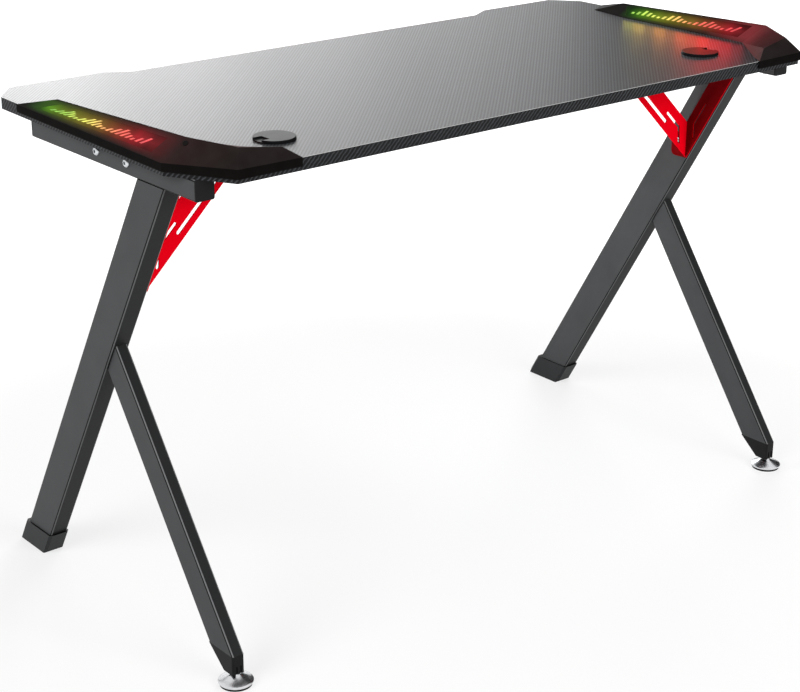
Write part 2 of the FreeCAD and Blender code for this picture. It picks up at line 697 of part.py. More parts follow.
def on_slope(low_front, low_rear, high_front, high_rear, along, up):
    """Point on a ruled slope, by shares of its length and of its rise."""
    return blend(blend(low_front, low_rear, along), blend(high_front, high_rear, along), up)


def window_block(slope_corners, window, margin, outward):
    """Prism through a slope over a window given by shares, grown by a margin."""
    along0, along1, up0, up1 = window
    corners = [on_slope(*slope_corners, a, u) for a, u in
               ((along0, up0), (along1, up0), (along1, up1), (along0, up1))]
    middle = (corners[0] + corners[1] + corners[2] + corners[3]) * 0.25
    normal = (corners[2] - corners[0]).cross(corners[3] - corners[1]).normalize()
    if normal.dot(outward) < 0:
        normal = normal * -1
    flat = [p - normal * normal.dot(p - middle) for p in corners]
    grown = []
    for i in range(4):
        into = (flat[i] - flat[i - 1]).normalize()
        away = (flat[(i + 1) % 4] - flat[i]).normalize()
        n0, n1 = into.cross(normal), away.cross(normal)
        if n0.dot(flat[i] - middle) < 0:
            n0, n1 = n0 * -1, n1 * -1
        grown.append(flat[i] + (n0 + n1) * (margin / (1 + n0.dot(n1))))
    return prism([p - normal * window_reach for p in grown], normal * (2 * window_reach))


cover_outline = offset_outline(board_outline, skirt_thickness)
front_side, side_corner, back_corner = cover_outline[6:9]
tip_share = (rear_y - tip_from_rear - front_side.y) / (side_corner.y - front_side.y)
cover_tip = blend(front_side, side_corner, tip_share)
cover_base = [
    cover_tip + Vec(0, 0, top_z), side_corner + Vec(0, 0, top_z + side_rear_height),
    back_corner + Vec(0, 0, top_z + rear_corner_height),
    Vec(end_x - wing_tip_from_end, back_corner.y, top_z + wing_tip_height),
    from_corner(wing_front[0], wing_front[1], 0), from_corner(inner_rear[0], inner_rear[1], 0),
    from_corner(inner_front[0], inner_front[1], 0), from_corner(inner_tip[0], inner_tip[1], 0)]
cover_ridge = [from_corner(*p) for p in (ridge_front, ridge_rear, ridge_corner, ridge_inner)]
hollow_base = [from_corner(inset, from_rear, 0) for inset, from_rear in hollow_outside + hollow_inside]
hollow_ridge = [from_corner(*p) for p in hollow_ridge_corners]
full_cover = roof_solid(cover_base, cover_ridge, top_z - skirt_depth)
hollow = roof_solid(hollow_base, hollow_ridge, top_z - 2.0)
board_blank = slab(offset_outline(board_outline, skirt_gap), under_z - 10, top_z)
wall_body = full_cover.cut(board_blank).cut(hollow)

outer_slope = (cover_base[0], cover_base[1], cover_ridge[0], cover_ridge[1])
inner_slope = (cover_base[6], cover_base[5], cover_ridge[0], cover_ridge[1])
windows = [(outer_slope, outer_window, Vec(1, 0, 1)), (inner_slope, inner_window, Vec(-1, 0, 1))]
cover = wall_body
lenses = []
for corners, window, outward in windows:
    cover = cover.cut(window_block(corners, window, 0, outward))
    lenses.append(wall_body.common(window_block(corners, window, -window_gap, outward)))
save_pair("outer_lens", lenses[0])
save_pair("inner_lens", lenses[1])

cover_screws = []
for place in cover_screw_places:
    boss = upright(boss_radius, place.x, place.y, top_z, well_clear).common(full_cover)
    for corners, window, outward in windows:
        boss = boss.cut(window_block(corners, window, 0, outward))
    cover = cover.fuse(boss)
for place in cover_screw_places:
    screw_top = top_z + cover_screw_reach
    cover = cover.cut(upright(cover_screw_dia / 2 + hole_clearance, place.x, place.y, top_z - 1,
                            screw_top + cover_screw_end))
    head = upright(cover_screw_head / 2, place.x, place.y, under_z, under_z + cover_screw_head_height)
    shank = upright(cover_screw_dia / 2, place.x, place.y, under_z, screw_top)
    cover_screws.append(head.fuse(shank).removeSplitter())
save_pair("cover_screws", Part.makeCompound(cover_screws))
save("left_cover", mirrored(cover))

# Light strips under the ridges
strip_x = end_x - strip_from_end
strip_front = rear_y - strip_front_from_rear
strip_rear = rear_y - strip_rear_from_rear
strip = box(strip_x - strip_width / 2, strip_x + strip_width / 2, strip_front, strip_rear,
            top_z, top_z + strip_thickness)
save_pair("light_strip", strip)
chips = []
chip_y = strip_front + chip_pitch / 2
chip_z = top_z + strip_thickness
while chip_y + chip_size / 2 < strip_rear:
    chips.append(box(strip_x - chip_size / 2, strip_x + chip_size / 2, chip_y - chip_size / 2,
                     chip_y + chip_size / 2, chip_z, chip_z + chip_height))
    chip_y += chip_pitch
save_pair("light_chips", Part.makeCompound(chips))

# Light button on the right cover's rear corner facet, with its switch on a post
facet = (cover_base[1], cover_base[2], cover_ridge[1], cover_ridge[2])
spot = on_slope(*facet, *button_place)
step_along = on_slope(*facet, button_place[0] + 0.01, button_place[1]) - spot
step_up = on_slope(*facet, button_place[0], button_place[1] + 0.01) - spot
press = step_along.cross(step_up).normalize()
if press.z > 0:
    press = press * -1
button_start = spot - press * button_proud
button_end = spot + press * button_depth
button = rod(button_dia / 2, button_start, button_end)
outer_rim = [e for e in button.Edges if e.Closed and (e.CenterOfMass - button_start).Length < 0.01]
button = button.makeFillet(button_edge_radius, outer_rim)
guide_start = spot - press * button_guide
guide = rod(button_dia / 2 + button_clearance, guide_start, spot + press * button_guide)
save("right_cover", cover.cut(guide))
save("light_button", button)
switch_start = button_end + press * switch_gap
switch_end = switch_start + press * switch_length
switch = rod(switch_dia / 2, switch_start, switch_end)
post_foot = Vec(switch_end.x, switch_end.y, top_z)
post_head = blend(switch_start, switch_end, 0.6)
post = rod(post_dia / 2, post_foot, Vec(post_foot.x, post_foot.y, post_head.z))
save("button_switch", switch.fuse(post).removeSplitter())
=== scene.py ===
import bmesh
import bpy
import math
from collections import namedtuple
from mathutils import Matrix, Vector


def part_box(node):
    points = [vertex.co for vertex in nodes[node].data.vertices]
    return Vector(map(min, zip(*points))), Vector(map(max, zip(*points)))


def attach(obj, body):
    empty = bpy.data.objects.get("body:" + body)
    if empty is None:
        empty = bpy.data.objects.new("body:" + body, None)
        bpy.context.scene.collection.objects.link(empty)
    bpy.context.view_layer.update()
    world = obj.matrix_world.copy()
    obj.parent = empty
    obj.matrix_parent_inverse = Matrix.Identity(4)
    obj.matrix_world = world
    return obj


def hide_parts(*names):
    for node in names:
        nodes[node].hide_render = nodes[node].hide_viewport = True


# Gaming desk with a carbon-look board, slanted steel side frames and lit end covers.
# Metres, in the frame of the solids: +Z up, front at -Y, right end at +X.

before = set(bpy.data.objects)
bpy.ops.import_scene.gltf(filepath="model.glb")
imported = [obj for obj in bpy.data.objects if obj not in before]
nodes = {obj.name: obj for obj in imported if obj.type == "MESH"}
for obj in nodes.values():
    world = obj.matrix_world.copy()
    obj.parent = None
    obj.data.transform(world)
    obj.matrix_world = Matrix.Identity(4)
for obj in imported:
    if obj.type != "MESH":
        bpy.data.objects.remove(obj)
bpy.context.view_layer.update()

MM = 0.001
SIDES = (("right", 1), ("left", -1))

# Sizes that the pieces below share with the solids
BOARD_TOP = 0.753
RAIL_OUTER = 0.590
RAIL_BOTTOM = 0.705
LEG_MIDDLE = 0.575

# Corners of the right cover's two lit slopes, which meet at its ridge: low front, low rear, high front, high rear
RIDGE = (Vector((0.578, -0.120, 0.7707)), Vector((0.575, 0.210, 0.7826)))
OUTER_SLOPE = (Vector((0.6042, -0.197, BOARD_TOP)), Vector((0.6130, 0.2046, 0.7534)), *RIDGE)
INNER_SLOPE = (Vector((0.546, -0.091, BOARD_TOP)), Vector((0.5485, 0.183, BOARD_TOP)), *RIDGE)

# Front and rear ends of the windows along Y, and their light's colours from front to rear
OUTER_WINDOW = (-0.160, 0.152)
INNER_WINDOW = (-0.090, 0.172)
WINDOW_HUE = ((0.0, "#2c6a10"), (0.15, "#477012"), (0.35, "#66681a"), (0.55, "#6a521c"), (0.72, "#70301c"),
              (0.88, "#8a1a20"), (1.0, "#7c1c22"))

# Distance under which two vertices of a turned shape are one
WELD = 0.01 * MM


def srgb(hex_colour):
    """Linear colour of an sRGB hex value."""
    channels = [int(hex_colour[i:i + 2], 16) / 255 for i in (1, 3, 5)]
    linear = [c / 12.92 if c <= 0.04045 else ((c + 0.055) / 1.055) ** 2.4 for c in channels]
    return (*linear, 1.0)


def add(tree, kind, inputs=None, stops=None, **settings):
    """Adds a node with its settings, its values and links, and a ramp's stops."""
    node = tree.nodes.new(kind)
    for name, value in settings.items():
        setattr(node, name, value)
    for name, value in (inputs or {}).items():
        if isinstance(value, bpy.types.NodeSocket):
            tree.links.new(value, node.inputs[name])
        else:
            node.inputs[name].default_value = value
    if stops:
        ramp = node.color_ramp
        while len(ramp.elements) < len(stops):
            ramp.elements.new(1.0)
        for element, (place, colour) in zip(ramp.elements, stops):
            element.position = place
            element.color = srgb(colour)
    return node


def new_finish(name, **sockets):
    """Starts a material and sets the even values on its shader; socket names use _ for spaces."""
    finish = bpy.data.materials.new(name)
    finish.use_nodes = True
    shader = finish.node_tree.nodes["Principled BSDF"]
    for socket, value in sockets.items():
        shader.inputs[socket.replace("_", " ")].default_value = value
    return finish, finish.node_tree, shader


def link_grain(tree, shader, place, grain, depth, strength):
    """Lays a fine bump of a given grain size and depth over a finish."""
    noise = add(tree, "ShaderNodeTexNoise", {"Vector": place, "Scale": 1 / grain, "Detail": 3.0})
    bump = add(tree, "ShaderNodeBump", {"Height": noise.outputs[0], "Distance": depth, "Strength": strength})
    tree.links.new(bump.outputs[0], shader.inputs["Normal"])


# Materials

def carbon_film():
    """Paper printed with a 2/2 twill and sealed in satin melamine: pale sheen at a low angle, with the
    tows showing as fine diagonal streaks. The film's cut edge is painted pale round the board, a painted
    highlight along its top arris. The print's tows are too fine to show, so they are drawn at 1.65 mm."""
    tow = 1.65 * MM
    rib = 4.0
    last_over = 1.5
    cloud = 40 * MM
    finish, tree, shader = new_finish("carbon_print_film", Roughness=0.4, Specular_IOR_Level=0.3)
    place = add(tree, "ShaderNodeTexCoord").outputs["Object"]
    axes = add(tree, "ShaderNodeSeparateXYZ", {0: place})
    column = add(tree, "ShaderNodeMath", {0: axes.outputs[0], 1: tow}, operation="DIVIDE").outputs[0]
    column = add(tree, "ShaderNodeMath", {0: column}, operation="FLOOR").outputs[0]
    row = add(tree, "ShaderNodeMath", {0: axes.outputs[1], 1: tow}, operation="DIVIDE").outputs[0]
    row = add(tree, "ShaderNodeMath", {0: row}, operation="FLOOR").outputs[0]
    step = add(tree, "ShaderNodeMath", {0: column, 1: row}, operation="SUBTRACT").outputs[0]
    # of each four tows, the first two lie over
    turn = add(tree, "ShaderNodeMath", {0: step, 1: rib}, operation="FLOORED_MODULO").outputs[0]
    over = add(tree, "ShaderNodeMath", {0: turn, 1: last_over}, operation="LESS_THAN").outputs[0]
    # each rib of the twill is four tows wide and takes the ink a little differently
    streak = add(tree, "ShaderNodeMath", {0: step, 1: rib}, operation="DIVIDE").outputs[0]
    streak = add(tree, "ShaderNodeMath", {0: streak}, operation="FLOOR").outputs[0]
    chance = add(tree, "ShaderNodeTexWhiteNoise", {"W": streak}, noise_dimensions="1D").outputs["Value"]
    ink = add(tree, "ShaderNodeTexNoise", {"Vector": place, "Scale": 1 / cloud, "Detail": 3.0}).outputs[0]
    even = add(tree, "ShaderNodeMapRange", {"Value": ink, "To Min": 0.58, "To Max": 0.74}).outputs[0]
    inked = add(tree, "ShaderNodeMath", {0: chance, 1: 0.12, 2: even}, operation="MULTIPLY_ADD").outputs[0]
    light = add(tree, "ShaderNodeMath", {0: over, 1: inked}, operation="MULTIPLY").outputs[0]
    shade = add(tree, "ShaderNodeValToRGB", {0: light},
                stops=((0.0, "#08090a"), (0.4, "#232427"), (1.0, "#5c5e62")))
    # faces that don't look up, the film's cut edge, are painted pale: a painted highlight along the board's top
    # arris
    upright = add(tree, "ShaderNodeSeparateXYZ", {0: add(tree, "ShaderNodeNewGeometry").outputs["Normal"]})
    on_top = add(tree, "ShaderNodeMath", {0: upright.outputs[2], 1: 0.5}, operation="GREATER_THAN").outputs[0]
    paper = add(tree, "ShaderNodeMix", {0: on_top, 6: srgb("#d6d6d4"), 7: shade.outputs[0]}, data_type="RGBA")
    gloss = add(tree, "ShaderNodeMapRange", {"Value": light, "To Min": 0.385, "To Max": 0.41}).outputs[0]
    tree.links.new(paper.outputs[2], shader.inputs["Base Color"])
    tree.links.new(gloss, shader.inputs["Roughness"])
    return finish


def carbon_band():
    """Printed PVC edge band: near black, crossed by lighter slanted threads that take the ink unevenly."""
    pitch = 7.6 * MM
    blotch = 5 * MM
    finish, tree, shader = new_finish("printed_pvc_band", Roughness=0.5, Specular_IOR_Level=0.15)
    place = add(tree, "ShaderNodeTexCoord").outputs["Object"]
    # each thread climbs as it runs along its own side of the board
    facing = add(tree, "ShaderNodeNewGeometry").outputs["Normal"]
    along = add(tree, "ShaderNodeVectorMath", {0: facing, 1: (0, 0, 1)}, operation="CROSS_PRODUCT").outputs[0]
    climb = add(tree, "ShaderNodeVectorMath", {0: along, 1: (0, 0, 1)}, operation="ADD").outputs[0]
    run = add(tree, "ShaderNodeVectorMath", {0: place, 1: climb}, operation="DOT_PRODUCT").outputs["Value"]
    slant = add(tree, "ShaderNodeMath", {0: run, 1: pitch}, operation="DIVIDE").outputs[0]
    thread = add(tree, "ShaderNodeMath", {0: slant, 1: 1.0}, operation="FLOORED_MODULO").outputs[0]
    ink = add(tree, "ShaderNodeTexNoise", {"Vector": place, "Scale": 1 / blotch, "Detail": 1.0}).outputs[0]
    worn = add(tree, "ShaderNodeMath", {0: ink, 1: 0.5}, operation="SUBTRACT").outputs[0]
    uneven = add(tree, "ShaderNodeMath", {0: worn, 1: 0.5, 2: thread}, operation="MULTIPLY_ADD").outputs[0]
    shade = add(tree, "ShaderNodeValToRGB", {0: uneven},
                stops=((0.10, "#050506"), (0.38, "#09090a"), (0.52, "#3e4043"), (0.74, "#323437"),
                       (0.90, "#060607")))
    tree.links.new(shade.outputs[0], shader.inputs["Base Color"])
    return finish


def particle_board():
    """Particle board whose underside has black backing paper: dull, with faint pressed chips."""
    finish, tree, shader = new_finish("backed_particle_board", Roughness=0.7, Specular_IOR_Level=0.3)
    place = add(tree, "ShaderNodeTexCoord").outputs["Object"]
    chips = add(tree, "ShaderNodeTexVoronoi", {"Vector": place, "Scale": 1 / (6 * MM)})
    shade = add(tree, "ShaderNodeValToRGB", {0: chips.outputs["Distance"]},
                stops=((0.0, "#1c1b1a"), (0.6, "#242321"), (1.0, "#2b2927")))
    tree.links.new(shade.outputs[0], shader.inputs["Base Color"])
    link_grain(tree, shader, place, 1.2 * MM, 0.05 * MM, 0.4)
    return finish


def powder_coat(name, dark, light, corner_highlight_colour, narrow, wide, roughness, specular):
    """Powder coat on steel: satin, with the fine orange peel that the powder leaves when it melts. The
    tubes' round corners are painted lighter as a painted highlight, with a thin painted dark reflection next to
    them, and faces are darkened by the way they face as painted shade: the last two colours say how much of
    the colour is left on faces along and across the frame. The peel is about 0.7 mm across, drawn at 2 mm to show."""
    finish, tree, shader = new_finish(name, Roughness=roughness, Specular_IOR_Level=specular)
    place = add(tree, "ShaderNodeTexCoord").outputs["Object"]
    cloud = add(tree, "ShaderNodeTexNoise", {"Vector": place, "Scale": 1 / (60 * MM), "Detail": 4.0}).outputs[0]
    shade = add(tree, "ShaderNodeValToRGB", {0: cloud}, stops=((0.3, dark), (0.7, light)))
    # a corner's faces look neither straight to the side nor straight along the frame
    facing = add(tree, "ShaderNodeSeparateXYZ", {0: add(tree, "ShaderNodeNewGeometry").outputs["Normal"]})
    aside = add(tree, "ShaderNodeMath", {0: facing.outputs[0]}, operation="ABSOLUTE").outputs[0]
    # the round corners' colour is replaced by a painted highlight
    corner = add(tree, "ShaderNodeValToRGB", {0: aside},
                 stops=((0.10, "#000000"), (0.2, "#ffffff"), (0.62, "#ffffff"), (0.72, "#000000")))
    # painted shade by facing: faces along the frame darker, a thin painted dark reflection next to each corner, and
    # the last colour on faces across it
    facing_shade = add(tree, "ShaderNodeValToRGB", {0: aside},
                 stops=((0.05, narrow), (0.15, "#ffffff"), (0.68, "#ffffff"), (0.78, "#303030"), (0.94, "#303030"),
                        (0.99, wide)))
    plain = add(tree, "ShaderNodeVectorMath", {0: shade.outputs[0], 1: facing_shade.outputs[0]}, operation="MULTIPLY")
    # painted highlight laid over the round corners
    coat = add(tree, "ShaderNodeMix", {0: corner.outputs[0], 6: plain.outputs[0], 7: srgb(corner_highlight_colour)}, data_type="RGBA")
    gloss = add(tree, "ShaderNodeMapRange", {"Value": cloud, "To Min": roughness - 0.05,
                                             "To Max": roughness + 0.05}).outputs[0]
    tree.links.new(coat.outputs[2], shader.inputs["Base Color"])
    tree.links.new(gloss, shader.inputs["Roughness"])
    link_grain(tree, shader, place, 2.0 * MM, 0.06 * MM, 0.35)
    return finish


def moulded_plastic(name, dark, light, roughness, specular, grain):
    """Black moulded plastic with a spark-eroded grain from the mould and faint flow clouds. The grain is
    finer than 0.2 mm, drawn at about 1 mm to show."""
    finish, tree, shader = new_finish(name, Roughness=roughness, Specular_IOR_Level=specular)
    place = add(tree, "ShaderNodeTexCoord").outputs["Object"]
    cloud = add(tree, "ShaderNodeTexNoise", {"Vector": place, "Scale": 1 / (25 * MM), "Detail": 3.0}).outputs[0]
    shade = add(tree, "ShaderNodeValToRGB", {0: cloud}, stops=((0.3, dark), (0.7, light)))
    gloss = add(tree, "ShaderNodeMapRange", {"Value": cloud, "To Min": roughness - 0.04,
                                             "To Max": roughness + 0.06}).outputs[0]
    tree.links.new(shade.outputs[0], shader.inputs["Base Color"])
    tree.links.new(gloss, shader.inputs["Roughness"])
    link_grain(tree, shader, place, grain, 0.03 * MM, 0.3)
    return finish


def shoe_plastic():
    """Moulded foot shoe: satin dark grey, with the rim that faces up the leg painted near black as painted shade
    where it meets the leg.
    """
    finish = moulded_plastic("moulded_polypropylene", "#272829", "#2e2f30", 0.45, 0.12, 1.2 * MM)
    tree = finish.node_tree
    shader = tree.nodes["Principled BSDF"]
    body = shader.inputs["Base Color"].links[0].from_socket
    facing = add(tree, "ShaderNodeSeparateXYZ", {0: add(tree, "ShaderNodeNewGeometry").outputs["Normal"]})
    # painted shade: the rim that faces up the leg is darkened to near black
    rim = add(tree, "ShaderNodeMapRange", {"Value": facing.outputs[2], "From Min": 0.7, "From Max": 0.9}).outputs[0]
    shade = add(tree, "ShaderNodeMix", {0: rim, 6: body, 7: srgb("#050505")}, data_type="RGBA")
    tree.links.new(shade.outputs[2], shader.inputs["Base Color"])
    return finish


def slope_share(tree, place, low_front, low_rear, high_front, high_rear):
    """Share of a lit slope's rise at each point, from its height between two lines along Y."""
    axes = add(tree, "ShaderNodeSeparateXYZ", {0: place})
    heights = []
    for front, rear in ((low_front, low_rear), (high_front, high_rear)):
        lean = (rear.z - front.z) / (rear.y - front.y)
        heights.append(add(tree, "ShaderNodeMath", {0: axes.outputs[1], 1: lean, 2: front.z - lean * front.y},
                           operation="MULTIPLY_ADD").outputs[0])
    above = add(tree, "ShaderNodeMath", {0: axes.outputs[2], 1: heights[0]}, operation="SUBTRACT").outputs[0]
    rise = add(tree, "ShaderNodeMath", {0: heights[1], 1: heights[0]}, operation="SUBTRACT").outputs[0]
    share = add(tree, "ShaderNodeMath", {0: above, 1: rise}, operation="DIVIDE").outputs[0]
    return axes.outputs[1], share


def lit_cover():
    """Black moulded cover: its skirts are darker than its upward faces, as painted shade from light that
    falls from above. A painted glow in the strip's colours lies round the windows, and a painted red glow on
    the facets behind them stands for the strip's red end lighting them, more on the inner side."""
    skirt_shade_share = 0.4
    outer_red_glow_share = 0.13
    window_glow_share = 0.5
    halo_before, halo_behind = 0.015, 0.06
    finish = moulded_plastic("moulded_abs", "#1d1b1a", "#232120", 0.36, 0.004, 1.5 * MM)
    tree = finish.node_tree
    shader = tree.nodes["Principled BSDF"]
    body = shader.inputs["Base Color"].links[0].from_socket
    place = add(tree, "ShaderNodeTexCoord").outputs["Object"]
    axes = add(tree, "ShaderNodeSeparateXYZ", {0: place})
    facing = add(tree, "ShaderNodeSeparateXYZ", {0: add(tree, "ShaderNodeNewGeometry").outputs["Normal"]})
    # painted shade: faces that don't look up keep only part of the colour
    upward = add(tree, "ShaderNodeMapRange", {"Value": facing.outputs[2], "From Min": 0.1,
                                              "From Max": 0.4}).outputs[0]
    painted_facing_shade = add(tree, "ShaderNodeMapRange", {"Value": upward, "To Min": skirt_shade_share, "To Max": 1.0}).outputs[0]
    shade = add(tree, "ShaderNodeVectorMath", {0: body, "Scale": painted_facing_shade}, operation="SCALE").outputs[0]
    tree.links.new(shade, shader.inputs["Base Color"])
    # painted red glow on the inward and front facets behind the windows, standing for the strip's red end lighting
    # them; a little on the other faces
    end = add(tree, "ShaderNodeMath", {0: axes.outputs[0]}, operation="SIGN").outputs[0]
    outward = add(tree, "ShaderNodeMath", {0: facing.outputs[0], 1: end}, operation="MULTIPLY").outputs[0]
    inner = add(tree, "ShaderNodeMapRange", {"Value": outward, "From Min": -0.05, "From Max": 0.15,
                                             "To Min": 1.0, "To Max": 0.0}).outputs[0]
    frontward = add(tree, "ShaderNodeMapRange", {"Value": facing.outputs[1], "From Min": 0.0, "From Max": 0.25,
                                                 "To Min": 1.0, "To Max": 0.0}).outputs[0]
    reach = add(tree, "ShaderNodeMath", {0: inner, 1: frontward}, operation="MULTIPLY").outputs[0]
    reach = add(tree, "ShaderNodeMath", {0: reach, 1: outer_red_glow_share}, operation="MAXIMUM").outputs[0]
    fade = add(tree, "ShaderNodeValToRGB", {0: axes.outputs[1]},
               stops=((0.10, "#000000"), (0.19, "#ffffff"), (0.24, "#b0b0b0"), (0.30, "#606060"))).outputs[0]
    red = add(tree, "ShaderNodeVectorMath", {0: fade, 1: srgb("#662226")[:3]}, operation="MULTIPLY").outputs[0]
    red = add(tree, "ShaderNodeVectorMath", {0: red, "Scale": reach}, operation="SCALE").outputs[0]
    glow = add(tree, "ShaderNodeVectorMath", {0: red, "Scale": upward}, operation="SCALE").outputs[0]
    # painted glow in the strip's colours on the upward faces round each window
    for slope, (front, rear), way in ((OUTER_SLOPE, OUTER_WINDOW, 1.0), (INNER_SLOPE, INNER_WINDOW, -1.0)):
        along, share = slope_share(tree, place, *slope)
        run = add(tree, "ShaderNodeMapRange", {"Value": along, "From Min": front, "From Max": rear}).outputs[0]
        hue = add(tree, "ShaderNodeValToRGB", {0: run}, stops=WINDOW_HUE).outputs[0]
        beyond = add(tree, "ShaderNodeMapRange", {"Value": along, "From Min": front - halo_before,
                                                  "From Max": rear + halo_behind}).outputs[0]
        ends = add(tree, "ShaderNodeValToRGB", {0: beyond},
                   stops=((0.0, "#000000"), (0.1, "#ffffff"), (0.8, "#ffffff"), (1.0, "#000000"))).outputs[0]
        edges = add(tree, "ShaderNodeValToRGB", {0: share},
                    stops=((0.0, "#000000"), (0.25, "#ffffff"), (0.8, "#ffffff"), (1.0, "#404040"))).outputs[0]
        faced = add(tree, "ShaderNodeMath", {0: outward, 1: way}, operation="MULTIPLY").outputs[0]
        on_face = add(tree, "ShaderNodeMapRange", {"Value": faced, "From Min": 0.25, "From Max": 0.4}).outputs[0]
        painted_window_glow = add(tree, "ShaderNodeVectorMath", {0: hue, 1: ends}, operation="MULTIPLY").outputs[0]
        painted_window_glow = add(tree, "ShaderNodeVectorMath", {0: painted_window_glow, 1: edges}, operation="MULTIPLY").outputs[0]
        painted_window_glow = add(tree, "ShaderNodeVectorMath", {0: painted_window_glow, "Scale": on_face}, operation="SCALE").outputs[0]
        painted_window_glow = add(tree, "ShaderNodeVectorMath", {0: painted_window_glow, "Scale": upward}, operation="SCALE").outputs[0]
        glow = add(tree, "ShaderNodeVectorMath", {0: painted_window_glow, 1: (window_glow_share, window_glow_share, window_glow_share), 2: glow},
                   operation="MULTIPLY_ADD").outputs[0]
    # the painted glows become the cover's emission
    tree.links.new(glow, shader.inputs["Emission Color"])
    shader.inputs["Emission Strength"].default_value = 1.0
    return finish


def glowing_lens(name, slope, front, rear):
    """Smoked acrylic window over a light strip: dark and glossy, with a glow that is soft at the window's
    edges and runs from green at the front to red at the rear."""
    finish, tree, shader = new_finish(name, Roughness=0.3, Specular_IOR_Level=0.01, Base_Color=srgb("#0d0c0b"),
                                      Emission_Strength=1.5)
    place = add(tree, "ShaderNodeTexCoord").outputs["Object"]
    along, share = slope_share(tree, place, *slope)
    run = add(tree, "ShaderNodeMapRange", {"Value": along, "From Min": front, "From Max": rear}).outputs[0]
    hue = add(tree, "ShaderNodeValToRGB", {0: run}, stops=WINDOW_HUE)
    middle = add(tree, "ShaderNodeValToRGB", {0: share},
                 stops=((0.16, "#9c9c9c"), (0.5, "#ffffff"), (0.84, "#9c9c9c")))
    ends = add(tree, "ShaderNodeValToRGB", {0: run},
               stops=((0.0, "#707070"), (0.12, "#ffffff"), (0.9, "#ffffff"), (1.0, "#c0c0c0")))
    cloud = add(tree, "ShaderNodeTexNoise", {"Vector": place, "Scale": 1 / (30 * MM), "Detail": 1.0}).outputs[0]
    spread = add(tree, "ShaderNodeMapRange", {"Value": cloud, "To Min": 0.5, "To Max": 1.5}).outputs[0]
    soft = add(tree, "ShaderNodeVectorMath", {0: hue.outputs[0], 1: middle.outputs[0]}, operation="MULTIPLY")
    soft = add(tree, "ShaderNodeVectorMath", {0: soft.outputs[0], 1: ends.outputs[0]}, operation="MULTIPLY")
    glow = add(tree, "ShaderNodeVectorMath", {0: soft.outputs[0], "Scale": spread}, operation="SCALE").outputs[0]
    tree.links.new(glow, shader.inputs["Emission Color"])
    return finish


def lit_inlay(front, rear):
    """Clear acrylic inlay that carries the strip's light to the surface: evenly bright, hottest in the
    middle of each chip's reach."""
    chip_pitch = 20 * MM
    finish, tree, shader = new_finish("lit_acrylic_inlay", Roughness=0.25, Base_Color=srgb("#202020"),
                                      Emission_Strength=1.0)
    place = add(tree, "ShaderNodeTexCoord").outputs["Object"]
    along = add(tree, "ShaderNodeSeparateXYZ", {0: place}).outputs[1]
    run = add(tree, "ShaderNodeMapRange", {"Value": along, "From Min": front, "From Max": rear}).outputs[0]
    hue = add(tree, "ShaderNodeValToRGB", {0: run},
              stops=((0.0, "#58a82a"), (0.25, "#8fc030"), (0.45, "#dcdc50"), (0.6, "#e8a850"), (0.78, "#e0503c"),
                     (1.0, "#d02830")))
    wave = add(tree, "ShaderNodeMath", {0: along, 1: 2 * math.pi / chip_pitch}, operation="MULTIPLY").outputs[0]
    wave = add(tree, "ShaderNodeMath", {0: wave}, operation="SINE").outputs[0]
    heat = add(tree, "ShaderNodeMapRange", {"Value": wave, "From Min": -1.0, "To Min": 1.1,
                                            "To Max": 1.6}).outputs[0]
    glow = add(tree, "ShaderNodeVectorMath", {0: hue.outputs[0], "Scale": heat}, operation="SCALE").outputs[0]
    tree.links.new(glow, shader.inputs["Emission Color"])
    return finish


def plated_metal(name, colour, tint, roughness, ring, depth):
    """Plated or turned metal: a clear mirror broken by fine tool rings."""
    finish, tree, shader = new_finish(name, Metallic=1.0, Roughness=roughness)
    place = add(tree, "ShaderNodeTexCoord").outputs["Object"]
    cloud = add(tree, "ShaderNodeTexNoise", {"Vector": place, "Scale": 1 / (8 * MM), "Detail": 3.0}).outputs[0]
    shade = add(tree, "ShaderNodeValToRGB", {0: cloud}, stops=((0.3, colour), (0.7, tint)))
    gloss = add(tree, "ShaderNodeMapRange", {"Value": cloud, "To Min": roughness * 0.7,
                                             "To Max": roughness * 1.4}).outputs[0]
    tree.links.new(shade.outputs[0], shader.inputs["Base Color"])
    tree.links.new(gloss, shader.inputs["Roughness"])
    link_grain(tree, shader, place, ring, depth, 0.3)
    return finish


def pad_rubber():
    """Moulded rubber floor pad: dull black with a dusty bloom."""
    finish, tree, shader = new_finish("moulded_rubber", Roughness=0.85, Specular_IOR_Level=0.25)
    place = add(tree, "ShaderNodeTexCoord").outputs["Object"]
    bloom = add(tree, "ShaderNodeTexNoise", {"Vector": place, "Scale": 1 / (7 * MM), "Detail": 5.0}).outputs[0]
    shade = add(tree, "ShaderNodeValToRGB", {0: bloom}, stops=((0.35, "#121212"), (0.75, "#232322")))
    tree.links.new(shade.outputs[0], shader.inputs["Base Color"])
    link_grain(tree, shader, place, 0.8 * MM, 0.05 * MM, 0.5)
    return finish


def circuit_board():
    """Flexible light strip: white solder mask with copper tracks showing through."""
    track_width = 2.5 * MM
    finish, tree, shader = new_finish("solder_masked_strip", Roughness=0.5)
    place = add(tree, "ShaderNodeTexCoord").outputs["Object"]
    across = add(tree, "ShaderNodeSeparateXYZ", {0: place}).outputs[0]
    track = add(tree, "ShaderNodeMath", {0: across, 1: track_width}, operation="PINGPONG").outputs[0]
    shade = add(tree, "ShaderNodeMapRange", {"Value": track, "From Max": track_width}).outputs[0]
    colour = add(tree, "ShaderNodeValToRGB", {0: shade}, stops=((0.45, "#c9c4b8"), (0.55, "#e6e3da")))
    tree.links.new(colour.outputs[0], shader.inputs["Base Color"])
    return finish


FILM = carbon_film()
BAND = carbon_band()
CORE = particle_board()
